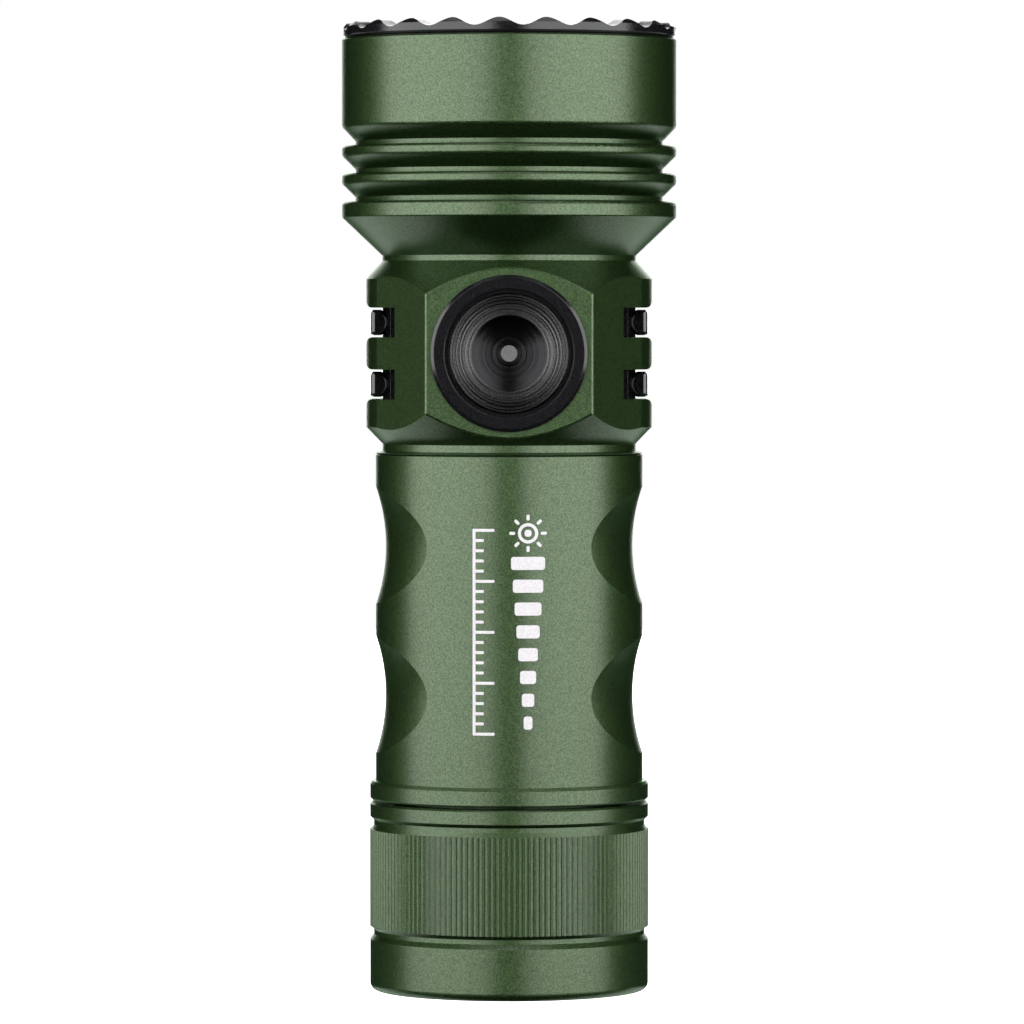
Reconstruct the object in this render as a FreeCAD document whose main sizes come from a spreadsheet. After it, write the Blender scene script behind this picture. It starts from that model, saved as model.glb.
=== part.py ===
import FreeCAD, Part
import Sketcher
import math
import os
from FreeCAD import Placement, Rotation, Vector

# Compact tactical flashlight, millimetres, +Z up.
# Origin: centre of the tail face it stands on. The switch faces -Y, the lens faces +Z.

SIZES = {
    # heights of the outside, from the tail face up
    "tail_face_radius": 13.80, "tail_radius": 14.58, "tail_corner": 0.80,
    "tail_band_top": 5.37, "tail_groove_low": 5.89, "tail_groove_high": 6.36,
    "knurl_low": 6.73, "knurl_high": 16.92, "collar_groove_low": 17.42, "collar_groove_high": 17.89,
    "cap_collar_low": 18.26, "cap_collar_high": 19.57, "cap_rim": 19.78,
    "tube_shoulder": 20.02, "tube_collar_low": 20.22, "tube_collar_high": 21.67, "tube_low": 22.0,
    "head_joint": 56.28, "lower_neck_low": 56.57, "lower_neck_high": 57.30,
    "block_low": 60.60, "block_high": 72.85, "upper_neck_low": 76.40, "upper_neck_high": 76.96,
    "flange_low": 80.97, "flange_high": 82.56, "optic_bay_floor": 84.20,
    "head_cone_low": 88.91, "head_cone_high": 90.42, "bezel_seat": 99.65, "bezel_top": 101.25,
    # radii of the outside
    "groove_radius": 14.18, "collar_radius": 14.58, "knurl_ridge_radius": 14.60, "knurl_root_radius": 14.40,
    "knurl_count": 152, "knurl_foot_share": 0.44, "knurl_crest_share": 0.08,
    "tube_radius": 13.98, "neck_radius": 13.27, "block_radius": 16.45,
    "head_radius": 17.50, "fin_root_radius": 16.07, "fin_pitch": 2.92, "fin_top": 85.50,
    "fin_tip_height": 1.02, "fin_count": 2, "fin_height": 2.43, "fin_rounding": 0.42, "head_rounding": 0.50,
    "rim_chamfer": 0.20, "edge_break": 0.08,
    # four shallow finger scallops in the tube
    "scallop_depth": 1.05, "scallop_long_radius": 18.8, "scallop_offset": 3.18, "scallop_low": 31.05,
    "scallop_high": 46.67,
    # section of the switch block
    "block_flat": 14.0, "block_flat_half_width": 8.60, "block_side_radius": 14.96,
    "block_facet_across": 13.76, "block_facet_along": 5.87, "flat_chamfer": 0.12,
    "facet_chamfer_across": 0.06, "facet_chamfer_along": 0.10,
    # slots through both sides of the block, with their black inserts
    "slot_floor": 11.85, "slot_height": 3.10, "slot_lower": 63.53, "slot_upper": 69.97,
    "slot_mouth": 14.30, "slot_mouth_rounding": 0.60, "insert_face": 12.35, "insert_half_length": 6.4,
    "pillar_face": 13.20, "pillar_half_length": 2.3, "stud_radius": 14.64, "stud_height": 2.66,
    "stud_half_length": 2.9, "stud_shoulder": 13.35, "stud_nose_radius": 1.50, "stud_rounding": 0.40,
    # inside of the head and the tube
    "cell_bore_radius": 9.75, "parts_bay_radius": 9.0, "parts_bay_low": 78.0, "parts_bay_high": 81.2,
    "optic_bay_radius": 14.90, "bezel_bore_radius": 16.35, "bezel_bore_low": 96.40,
    "nose_bore_radius": 12.0, "nose_radius": 11.93, "nose_high": 59.0, "nose_bore_high": 59.1,
    "nose_groove_low": 56.6, "nose_groove_high": 57.8, "nose_groove_radius": 10.93,
    # screw joint of the tail cap
    "thread_radius": 12.60, "thread_root_radius": 12.0, "thread_pitch": 1.0, "thread_low": 10.4,
    "thread_length": 6.0, "thread_foot_share": 0.42, "thread_crest_share": 0.10,
    "tube_end": 9.90, "cap_bore_radius": 12.68, "cap_bore_low": 9.80,
    "seal_land_low": 16.9, "seal_land_high": 19.4, "seal_groove_low": 17.4, "seal_groove_high": 18.8,
    "seal_groove_radius": 11.36, "tail_seal_section": 0.62, "nose_seal_section": 0.49,
    # tail cap inside
    "cap_floor": 2.5, "cap_bay_radius": 11.80, "contact_well_radius": 8.6, "contact_well_depth": 0.5,
    "contact_hole_radius": 5.2, "insulator_radius": 5.15, "insulator_flange_radius": 7.5,
    "insulator_top": 4.95, "contact_face_radius": 2.6, "contact_face_low": 0.30, "contact_face_high": 1.20,
    "contact_stem_radius": 1.20, "magnet_inner_radius": 7.6, "magnet_radius": 11.7, "magnet_top": 4.9,
    "tail_board_low": 5.0, "tail_board_high": 6.2, "tail_ring_inner": 9.6, "tail_ring_top": 8.0,
    "spring_base_radius": 4.6, "spring_top_radius": 3.2, "spring_wire": 0.35, "spring_turns": 3,
    "points_per_turn": 12,
    # rechargeable cell
    "cell_low": 9.30, "cell_high": 74.30, "cell_radius": 9.30, "can_radius": 9.15, "can_wall": 0.25,
    "cell_cap_top": 75.20, "cell_cap_radius": 3.8, "cell_cap_step": 0.5, "washer_top": 74.45,
    # driver
    "driver_low": 77.0, "driver_radius": 9.6, "driver_ring_low": 75.9, "driver_ring_radius": 9.70,
    "driver_ring_inner": 8.2, "driver_post_radius": 1.8, "contact_gap": 0.02,
    "chip_width": 4.0, "chip_offset": 2.0, "chip_height": 0.9, "coil_width": 5.0, "coil_height": 2.6,
    "plug_width": 3.2, "plug_depth": 1.6, "plug_height": 0.9, "plug_outer": 8.4,
    # light engine
    "led_board_radius": 10.4, "led_board_top": 85.80, "led_width": 5.0, "led_height": 0.5,
    "led_chip_width": 3.4, "led_chip_height": 0.15, "screw_spacing": 7.9, "screw_radius": 0.80,
    "screw_head_radius": 1.55, "screw_head_height": 0.9, "screw_length": 3.2, "screw_socket_radius": 0.75,
    "lead_across": 3.2, "lead_along": 7.0, "lead_radius": 0.55, "lead_hole_radius": 0.80, "lead_top": 86.2,
    "holder_inner": 3.9, "holder_outer": 6.2, "optic_low": 86.1,
    "optic_foot_radius": 5.0, "optic_recess_radius": 3.8, "optic_recess_high": 89.4,
    "optic_side_radius": 30.0, "optic_mouth_radius": 14.1, "optic_flange_radius": 14.8,
    "optic_flange_low": 95.2, "optic_top": 96.6, "glass_top": 98.3, "glass_radius": 15.2,
    "seal_inner": 13.9, "lip_low": 98.9,
    # bezel
    "bezel_radius": 17.46, "bezel_skirt_radius": 16.30, "bezel_skirt_inner": 15.3, "bezel_skirt_low": 96.5,
    "bezel_lower_chamfer": 0.32, "bezel_upper_chamfer": 0.46, "bezel_lip_radius": 13.9,
    "bezel_lip_top": 99.2, "bezel_cup_radius": 15.4, "bezel_cup_low": 100.2, "bezel_mouth_radius": 15.75,
    "wave_count": 22, "points_per_wave": 8, "wave_depth": 0.82, "wave_lead": 3.4,
    # side switch: distances outwards from the long axis
    "switch_height": 66.80, "pocket_radius": 7.0, "pocket_floor": 10.90, "switch_board_radius": 6.7,
    "switch_board_top": 11.60, "tact_width": 4.6, "tact_top": 12.30, "tact_hole_radius": 1.05,
    "plunger_radius": 0.95, "plunger_low": 12.10, "boot_low": 12.80, "boot_radius": 5.6,
    "button_low": 13.25, "button_flange_radius": 6.6, "button_flange_top": 13.50, "button_radius": 6.18,
    "button_top": 14.36, "button_edge": 0.10, "dish_edge_radius": 3.92,
    "dish_floor": 13.98, "dish_radius": 9.5, "lens_recess_radius": 1.0, "lens_recess_floor": 13.85,
    "lens_radius": 0.84, "lens_top": 14.02, "button_groove_pitch": 0.34, "button_groove_depth": 0.09,
    "button_groove_count": 3,
    "ring_low": 12.6, "ring_hub_radius": 6.95, "ring_counterbore": 6.70, "ring_lip_low": 13.55,
    "ring_bore": 6.26, "ring_step": 13.80, "ring_mouth_radius": 6.68, "ring_radius": 8.08,
    "ring_edge_radius": 7.77, "ring_top": 14.62, "ring_side_top": 14.36, "gasket_inner": 5.9,
    "indicator_offset": 3.6, "indicator_width": 1.6, "indicator_height": 0.5,
    # flexible strip from the switch board to the driver, and its slot in the head
    "flex_width": 2.4, "flex_thickness": 0.2, "flex_face": 11.20, "flex_low": 73.5, "flex_high": 78.6,
    "flex_slot_width": 3.2, "flex_slot_inner": 11.0, "flex_slot_outer": 11.8, "flex_slot_low": 71.0,
    "flex_slot_high": 79.0, "flex_window_low": 78.2, "flex_window_inner": 8.5,
}

os.makedirs("parts", exist_ok=True)
doc = FreeCAD.newDocument("flashlight")
sheet = doc.addObject("Spreadsheet::Sheet", "Sizes")
for row, (word, number) in enumerate(SIZES.items(), start=1):
    sheet.set(f"A{row}", word)
    sheet.set(f"B{row}", str(number))
    sheet.setAlias(f"B{row}", word)
doc.recompute()


class Size:
    """A length that carries its number and the sheet expression that gives it."""

    def __init__(self, number, text):
        self.number = number
        self.text = text

    def __add__(self, other):
        return combine(self, "+", other, self.number + number_of(other))

    def __sub__(self, other):
        return combine(self, "-", other, self.number - number_of(other))

    def __mul__(self, other):
        return combine(self, "*", other, self.number * number_of(other))

    def __truediv__(self, other):
        return combine(self, "/", other, self.number / number_of(other))

    def __neg__(self):
        return Size(-self.number, f"(0 - {self.text})")


def number_of(value):
    return value.number if isinstance(value, Size) else float(value)


def text_of(value):
    return value.text if isinstance(value, Size) else repr(float(value))


def combine(left, sign, right, number):
    return Size(number, f"({text_of(left)} {sign} {text_of(right)})")


class Sheet:
    """Reads a named cell of the sheet as a Size."""

    def __getattr__(self, word):
        return Size(float(getattr(sheet, word)), f"Sizes.{word}")


class Arc:
    """A round stretch between the outline's neighbouring points; it turns left when turn is 1."""

    def __init__(self, radius, turn):
        self.radius = radius
        self.turn = turn


s = Sheet()
ZERO = Size(0.0, "0")
sub_parts = []


# ---------------------------------------------------------------- sketches and features

def plane_of(body, role):
    return next(item for item in body.Origin.OriginFeatures if item.Role == role)


def sketch_on(body, role, name, offset=None):
    sketch = body.newObject("Sketcher::SketchObject", name)
    sketch.AttachmentSupport = [(plane_of(body, role), "")]
    sketch.MapMode = "FlatFace"
    if offset is not None:
        sketch.setExpression("AttachmentOffset.Base.z", offset.text)
    return sketch


def bind(sketch, constraint, size):
    sketch.setExpression(f"Constraints[{sketch.addConstraint(constraint)}]", size.text)


def pin_point(sketch, edge, end, point):
    """Holds one end of an edge at a place measured from the sketch's origin."""
    for axis, kind, size in ((-2, "DistanceX", point[0]), (-1, "DistanceY", point[1])):
        if size.number == 0:
            sketch.addConstraint(Sketcher.Constraint("PointOnObject", edge, end, axis))
        else:
            bind(sketch, Sketcher.Constraint(kind, -1, 1, edge, end, size.number), size)


def arc_between(start, end, arc):
    """The circle arc from start to end, and whether it runs from start to end."""
    middle = (start + end) * 0.5
    along = end - start
    left = Vector(-along.y, along.x, 0).normalize()
    reach = math.sqrt(arc.radius.number ** 2 - (along.Length / 2) ** 2)
    centre = middle + left * reach * arc.turn
    circle = Part.Circle(centre, Vector(0, 0, 1), arc.radius.number)
    ends = (start, end) if arc.turn > 0 else (end, start)
    angles = [math.atan2(point.y - centre.y, point.x - centre.x) for point in ends]
    return Part.ArcOfCircle(circle, angles[0], angles[1])


def draw(sketch, outline):
    """Draws a closed outline of points, with an Arc standing between the two points it joins."""
    points = [item for item in outline if not isinstance(item, Arc)]
    arcs = {}
    for place, item in enumerate(outline):
        if isinstance(item, Arc):
            arcs[len([one for one in outline[:place] if not isinstance(one, Arc)]) - 1] = item
    places = [Vector(point[0].number, point[1].number, 0) for point in points]
    edges = []
    for index, start in enumerate(places):
        end = places[(index + 1) % len(places)]
        if index in arcs:
            edge = sketch.addGeometry(arc_between(start, end, arcs[index]), False)
            edges.append((edge, 1, 2) if arcs[index].turn > 0 else (edge, 2, 1))
        else:
            edges.append((sketch.addGeometry(Part.LineSegment(start, end), False), 1, 2))
    for index, (edge, start, end) in enumerate(edges):
        following = edges[(index + 1) % len(edges)]
        sketch.addConstraint(Sketcher.Constraint("Coincident", edge, end, following[0], following[1]))
        pin_point(sketch, edge, start, points[index])
        if index in arcs:
            bind(sketch, Sketcher.Constraint("Radius", edge, arcs[index].radius.number), arcs[index].radius)


def draw_circle(sketch, centre, radius):
    place = Vector(centre[0].number, centre[1].number, 0)
    edge = sketch.addGeometry(Part.Circle(place, Vector(0, 0, 1), radius.number), False)
    pin_point(sketch, edge, 3, centre)
    bind(sketch, Sketcher.Constraint("Radius", edge, radius.number), radius)


def rectangle(left, right, low, high):
    return [(left, low), (right, low), (right, high), (left, high)]


def new_body(label, keep=True):
    body = doc.addObject("PartDesign::Body", label)
    body.Label = label
    if keep:
        sub_parts.append(body)
    return body


def turned(label, outline, keep=True):
    """A body turned about the long axis from an outline of (radius, height) points."""
    body = new_body(label, keep)
    sketch = sketch_on(body, "XZ_Plane", label + "_outline")
    draw(sketch, outline)
    turn = body.newObject("PartDesign::Revolution", label + "_turn")
    turn.Profile = sketch
    turn.ReferenceAxis = (sketch, ["V_Axis"])
    turn.Angle = 360
    doc.recompute()
    return body


def ring(label, inner, outer, low, high, keep=True):
    return turned(label, rectangle(inner, outer, low, high), keep)


def padded(label, low, high, outlines=(), circles=()):
    """A body with an upright wall: outlines and circles drawn level, from low to high."""
    body = new_body(label)
    sketch = sketch_on(body, "XY_Plane", label + "_plan", low)
    for outline in outlines:
        draw(sketch, outline)
    for centre, radius in circles:
        draw_circle(sketch, centre, radius)
    pad = body.newObject("PartDesign::Pad", label + "_pad")
    pad.Profile = sketch
    pad.setExpression("Length", (high - low).text)
    doc.recompute()
    return body


def cut(body, name, role, offset, length, outlines=(), circles=(), midplane=False, reverse=False):
    """Pockets a body and stops if nothing was cut away."""
    before = body.Shape.Volume
    sketch = sketch_on(body, role, name + "_plan", offset)
    for outline in outlines:
        draw(sketch, outline)
    for centre, radius in circles:
        draw_circle(sketch, centre, radius)
    pocket = body.newObject("PartDesign::Pocket", name)
    pocket.Profile = sketch
    pocket.setExpression("Length", length.text)
    pocket.Midplane = midplane
    pocket.Reversed = reverse
    doc.recompute()
    if body.Shape.Volume > before - 0.01:
        raise RuntimeError(name + " cuts nothing")


def round_edge(shape, radius, height):
    """Name of the circular edge of this radius about the long axis at this height."""
    for index, edge in enumerate(shape.Edges, start=1):
        curve = edge.Curve
        if isinstance(curve, Part.Circle) and abs(curve.Radius - radius) < 1e-4:
            if abs(curve.Center.z - height) < 1e-4 and abs(curve.Center.x) + abs(curve.Center.y) < 1e-4:
                return f"Edge{index}"
    raise RuntimeError(f"no round edge of radius {radius} at {height}")


def rounded(body, name, corners, radius):
    """Rounds the circular edges found at (radius, height) corners."""
    base = body.Tip
    fillet = body.newObject("PartDesign::Fillet", name)
    fillet.Base = (base, [round_edge(base.Shape, where.number, up.number) for where, up in corners])
    fillet.setExpression("Radius", radius.text)
    doc.recompute()


def chamfered(body, name, corners, width):
    base = body.Tip
    chamfer = body.newObject("PartDesign::Chamfer", name)
    chamfer.Base = (base, [round_edge(base.Shape, where.number, up.number) for where, up in corners])
    chamfer.setExpression("Size", width.text)
    doc.recompute()


def shaped(label, shape, keep=True):
    feature = doc.addObject("Part::Feature", label)
    feature.Label = label
    feature.Shape = shape
    if keep:
        sub_parts.append(feature)
    return feature


def joined(kind, label, base, tool):
    """A Part::Cut or Part::Fuse of two objects, kept as a sub-part."""
    feature = doc.addObject(kind, label)
    feature.Label = label
    feature.Base = base
    feature.Tool = tool
    sub_parts.append(feature)
    doc.recompute()
    return feature


def face_switch(feature):
    """Turns a sub-part made upright so that its axis points out of the switch, at its height."""
    feature.Placement = Placement(Vector(0, 0, 0), Rotation(Vector(1, 0, 0), 90))
    feature.setExpression("Placement.Base.z", s.switch_height.text)


# ---------------------------------------------------------------- head

def light_holes():
    """Holes under the light as (centre, radius): two tapped for screws, two for the leads."""
    return [((s.screw_spacing, ZERO), s.screw_radius), ((-s.screw_spacing, ZERO), s.screw_radius),
            ((s.lead_across, s.lead_along), s.lead_hole_radius),
            ((-s.lead_across, s.lead_along), s.lead_hole_radius)]


def head_shell():
    """Head, cooling fins, switch block and necks, machined from one bar."""
    outline = [
        (s.nose_bore_radius, s.head_joint),
        (s.tube_radius - s.edge_break, s.head_joint),
        (s.tube_radius, s.head_joint + s.edge_break),
        (s.neck_radius, s.lower_neck_low),
        (s.neck_radius, s.lower_neck_high),
        (s.block_radius, s.block_low),
        (s.block_radius, s.block_high),
        (s.neck_radius, s.upper_neck_low),
        (s.neck_radius, s.upper_neck_high),
        (s.head_radius, s.flange_low),
        (s.head_radius, s.flange_high),
    ]
    tips = []
    for count in range(int(s.fin_count.number)):
        top = s.fin_top + s.fin_pitch * count
        outline += [
            (s.fin_root_radius, s.flange_high + s.fin_pitch * count),
            (s.fin_root_radius, top - s.fin_height),
            (s.head_radius, top - s.fin_tip_height),
            (s.head_radius, top),
        ]
        tips += [(s.head_radius, top - s.fin_tip_height), (s.head_radius, top)]
    outline += [
        (s.fin_root_radius, s.fin_top + s.fin_pitch),
        (s.fin_root_radius, s.head_cone_low),
        (s.head_radius, s.head_cone_high),
        (s.head_radius, s.bezel_seat),
        (s.bezel_bore_radius, s.bezel_seat),
        (s.bezel_bore_radius, s.bezel_bore_low),
        (s.optic_bay_radius, s.bezel_bore_low),
        (s.optic_bay_radius, s.optic_bay_floor),
        (ZERO, s.optic_bay_floor),
        (ZERO, s.parts_bay_high),
        (s.parts_bay_radius, s.parts_bay_high),
        (s.parts_bay_radius, s.parts_bay_low),
        (s.cell_bore_radius, s.parts_bay_low),
        (s.cell_bore_radius, s.nose_bore_high),
        (s.nose_bore_radius, s.nose_bore_high),
    ]
    body = turned("head_shell", outline)
    rounded(body, "fin_tips", tips + [(s.head_radius, s.flange_high)], s.fin_rounding)
    rounded(body, "head_corner", [(s.head_radius, s.head_cone_high)], s.head_rounding)
    rounded(body, "flange_corner", [(s.head_radius, s.flange_low)], s.rim_chamfer)
    chamfered(body, "head_rim", [(s.head_radius, s.bezel_seat)], s.rim_chamfer)

    # the block's flats, facets and side arcs
    flat, half_width = s.block_flat, s.block_flat_half_width
    across, along = s.block_facet_across, s.block_facet_along
    flat_end = half_width - s.flat_chamfer
    facet_end = half_width + s.facet_chamfer_across
    facet_start = flat - s.facet_chamfer_along
    section = [
        (-flat_end, -flat), (flat_end, -flat), (facet_end, -facet_start), (across, -along),
        Arc(s.block_side_radius, 1),
        (across, along), (facet_end, facet_start), (flat_end, flat), (-flat_end, flat),
        (-facet_end, facet_start), (-across, along),
        Arc(s.block_side_radius, 1),
        (-across, -along), (-facet_end, -facet_start),
    ]
    around = [((ZERO, ZERO), s.head_radius)]
    cut(body, "block_section", "XY_Plane", s.upper_neck_high, s.upper_neck_high - s.lower_neck_low,
        [section], around)

    # a fine chamfer where the front and back flats run into the cones above and below
    blocked = body.Tip
    edges = []
    for index, edge in enumerate(blocked.Shape.Edges, start=1):
        on_flat = all(abs(abs(vertex.Y) - flat.number) < 1e-4 for vertex in edge.Vertexes)
        if on_flat and not isinstance(edge.Curve, Part.Line):
            edges.append(f"Edge{index}")
    chamfer = body.newObject("PartDesign::Chamfer", "flat_chamfer")
    chamfer.Base = (blocked, edges)
    chamfer.setExpression("Size", s.flat_chamfer.text)
    doc.recompute()

    # slots straight through both sides, with rounded mouths
    beyond = s.head_radius
    slots = []
    for height in (s.slot_lower, s.slot_upper):
        low = height - s.slot_height / 2
        high = height + s.slot_height / 2
        mouth = s.slot_mouth + s.slot_mouth_rounding
        rounding = s.slot_mouth_rounding
        slots.append([(s.slot_floor, low), (s.slot_mouth, low), Arc(rounding, -1), (mouth, low - rounding),
                      (beyond, low - rounding), (beyond, high + rounding), (mouth, high + rounding),
                      Arc(rounding, -1), (s.slot_mouth, high), (s.slot_floor, high)])
        slots.append([(-s.slot_floor, high), (-s.slot_mouth, high), Arc(rounding, -1),
                      (-mouth, high + rounding), (-beyond, high + rounding), (-beyond, low - rounding),
                      (-mouth, low - rounding), Arc(rounding, -1), (-s.slot_mouth, low),
                      (-s.slot_floor, low)])
    cut(body, "side_slots", "XZ_Plane", None, s.head_radius * 2, slots, midplane=True)

    # switch pocket, and the slot that leads its flexible strip up to the driver
    cut(body, "switch_pocket", "XZ_Plane", s.pocket_floor, s.head_radius - s.pocket_floor,
        circles=[((ZERO, s.switch_height), s.pocket_radius)], reverse=True)
    half_slot = s.flex_slot_width / 2
    slot = rectangle(-half_slot, half_slot, -s.flex_slot_outer, -s.flex_slot_inner)
    cut(body, "flex_slot", "XY_Plane", s.flex_slot_low, s.flex_slot_high - s.flex_slot_low, [slot],
        reverse=True)
    window = rectangle(-half_slot, half_slot, -s.flex_slot_outer, -s.flex_window_inner)
    cut(body, "flex_window", "XY_Plane", s.flex_window_low, s.flex_slot_high - s.flex_window_low, [window],
        reverse=True)

    # holes through the shelf under the light
    cut(body, "shelf_holes", "XY_Plane", s.optic_bay_floor, s.optic_bay_floor - s.parts_bay_high,
        circles=light_holes())


def bezel_ring():
    """Screwed-in front ring whose top edge is cut in even waves."""
    blank = turned("bezel_blank", [
        (s.bezel_skirt_inner, s.bezel_skirt_low),
        (s.bezel_skirt_radius, s.bezel_skirt_low),
        (s.bezel_skirt_radius, s.bezel_seat),
        (s.bezel_radius - s.bezel_lower_chamfer, s.bezel_seat),
        (s.bezel_radius, s.bezel_seat + s.bezel_lower_chamfer),
        (s.bezel_radius, s.bezel_top - s.bezel_upper_chamfer),
        (s.bezel_radius - s.bezel_upper_chamfer, s.bezel_top),
        (s.bezel_mouth_radius, s.bezel_top),
        (s.bezel_cup_radius, s.bezel_cup_low),
        (s.bezel_lip_radius, s.bezel_lip_top),
        (s.bezel_lip_radius, s.lip_low),
        (s.bezel_skirt_inner, s.lip_low),
    ], keep=False)
    count = int(s.wave_count.number)
    depth = s.wave_depth.number
    top = s.bezel_top.number
    lead = math.radians(s.wave_lead.number)
    steps = count * int(s.points_per_wave.number)

    def wave(radius):
        points = []
        for step in range(steps):
            angle = 2 * math.pi * step / steps - math.pi / 2 - lead
            rise = math.cos(count * (angle + math.pi / 2 + lead))
            height = top - depth / 2 + depth / 2 * rise
            points.append(Vector(radius * math.cos(angle), radius * math.sin(angle), height))
        curve = Part.BSplineCurve()
        curve.interpolate(Points=points, PeriodicFlag=True)
        return curve.toShape()

    inner_wave = wave(s.bezel_lip_radius.number)
    outer_wave = wave(s.head_radius.number)
    cutter = Part.makeRuledSurface(outer_wave, inner_wave).extrude(Vector(0, 0, depth * 2))
    waves = shaped("bezel_waves", cutter, keep=False)
    joined("Part::Cut", "bezel_ring", blank, waves)


def slot_insert(label, side, height):
    """Black insert: a strip on the slot's floor, and a rounded stud on a pillar in its middle."""
    low = height - s.slot_height / 2
    long_half, short_half = s.insert_half_length, s.pillar_half_length
    floor, face, top = s.slot_floor * side, s.insert_face * side, s.pillar_face * side
    base = new_body(label + "_base", keep=False)
    sketch = sketch_on(base, "XY_Plane", label + "_base_plan", low)
    draw(sketch, [(floor, -long_half), (face, -long_half), (face, -short_half), (top, -short_half),
                  (top, short_half), (face, short_half), (face, long_half), (floor, long_half)])
    pad = base.newObject("PartDesign::Pad", label + "_base_pad")
    pad.Profile = sketch
    pad.setExpression("Length", s.slot_height.text)

    # the stud is a bar with a D-shaped end, whose outer face follows the block's round side
    stud = new_body(label + "_stud", keep=False)
    sketch = sketch_on(stud, "XZ_Plane", label + "_stud_outline")
    shoulder, end = s.stud_shoulder * side, s.head_radius * side
    low = height - s.stud_height / 2
    high = height + s.stud_height / 2
    draw(sketch, [(shoulder, high), Arc(s.stud_nose_radius, side), (shoulder, low), (end, low), (end, high)])
    pad = stud.newObject("PartDesign::Pad", label + "_stud_pad")
    pad.Profile = sketch
    pad.Midplane = True
    pad.setExpression("Length", (s.stud_half_length * 2).text)
    doc.recompute()
    outside = rectangle(-s.block_radius * 2, s.block_radius * 2, -s.block_radius, s.block_radius)
    cut(stud, label + "_stud_end", "XY_Plane", high, s.stud_height, [outside],
        [((ZERO, ZERO), s.stud_radius)])
    trimmed = stud.Tip
    fillet = stud.newObject("PartDesign::Fillet", label + "_stud_rounding")
    fillet.Base = (trimmed, [f"Edge{index + 1}" for index in range(len(trimmed.Shape.Edges))])
    fillet.setExpression("Radius", s.stud_rounding.text)
    doc.recompute()
    joined("Part::Fuse", label, base, stud)


def front_stack():
    """Glass, its seal, the lens block behind it and the light source."""
    ring("front_glass", ZERO, s.glass_radius, s.optic_top + s.contact_gap, s.glass_top)
    ring("glass_seal", s.seal_inner, s.glass_radius, s.glass_top, s.lip_low)
    turned("tir_optic", [
        (s.optic_recess_radius, s.optic_low),
        (s.optic_foot_radius, s.optic_low),
        Arc(s.optic_side_radius, 1),
        (s.optic_mouth_radius, s.optic_flange_low),
        (s.optic_flange_radius, s.optic_flange_low),
        (s.optic_flange_radius, s.optic_top),
        (ZERO, s.optic_top),
        (ZERO, s.optic_recess_high),
        (s.optic_recess_radius, s.optic_recess_high - s.led_height),
    ])
    ring("optic_holder", s.holder_inner, s.holder_outer, s.led_board_top, s.optic_low)
    padded("led_board", s.optic_bay_floor, s.led_board_top,
           circles=[((ZERO, ZERO), s.led_board_radius)] + light_holes())
    half = s.led_width / 2
    led = padded("main_led", s.led_board_top, s.led_board_top + s.led_height,
                 [rectangle(-half, half, -half, half)])
    half = s.led_chip_width / 2
    sketch = sketch_on(led, "XY_Plane", "main_led_chip_plan", s.led_board_top + s.led_height)
    draw(sketch, rectangle(-half, half, -half, half))
    chip = led.newObject("PartDesign::Pad", "main_led_chip")
    chip.Profile = sketch
    chip.setExpression("Length", s.led_chip_height.text)
    padded("led_leads", s.parts_bay_low, s.lead_top,
           circles=[((s.lead_across, s.lead_along), s.lead_radius),
                    ((-s.lead_across, s.lead_along), s.lead_radius)])
    screws = []
    for side in (-1, 1):
        screw = turned(f"screw_{'left' if side < 0 else 'right'}", [
            (ZERO, s.led_board_top - s.screw_length),
            (s.screw_radius, s.led_board_top - s.screw_length),
            (s.screw_radius, s.led_board_top),
            (s.screw_head_radius, s.led_board_top),
            (s.screw_head_radius, s.led_board_top + s.screw_head_height),
            (s.screw_socket_radius, s.led_board_top + s.screw_head_height),
            (s.screw_socket_radius, s.led_board_top + s.screw_head_height / 2),
            (ZERO, s.led_board_top + s.screw_head_height / 2),
        ], keep=False)
        screw.setExpression("Placement.Base.x", (s.screw_spacing * side).text)
        screws.append(screw)
    group = doc.addObject("Part::Compound", "led_board_screws")
    group.Label = "led_board_screws"
    group.Links = screws
    sub_parts.append(group)


def driver():
    """Round circuit board between the cell and the light, with its parts and its contact."""
    ring("driver_board", ZERO, s.driver_radius, s.driver_low, s.parts_bay_low)
    ring("driver_retaining_ring", s.driver_ring_inner, s.driver_ring_radius, s.driver_ring_low, s.driver_low)
    ring("driver_contact", ZERO, s.driver_post_radius, s.cell_cap_top + s.contact_gap, s.driver_low)
    chip = s.chip_width
    padded("driver_controller", s.parts_bay_low, s.parts_bay_low + s.chip_height,
           [rectangle(-s.chip_offset - chip, -s.chip_offset, -chip / 2, chip / 2)])
    padded("driver_inductor", s.parts_bay_low, s.parts_bay_low + s.coil_height,
           [rectangle(ZERO, s.coil_width, -s.coil_width / 2, s.coil_width / 2)])
    half = s.plug_width / 2
    padded("driver_connector", s.parts_bay_low, s.parts_bay_low + s.plug_height,
           [rectangle(-half, half, -s.plug_outer, s.plug_depth - s.plug_outer)])


# ---------------------------------------------------------------- side switch

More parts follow.
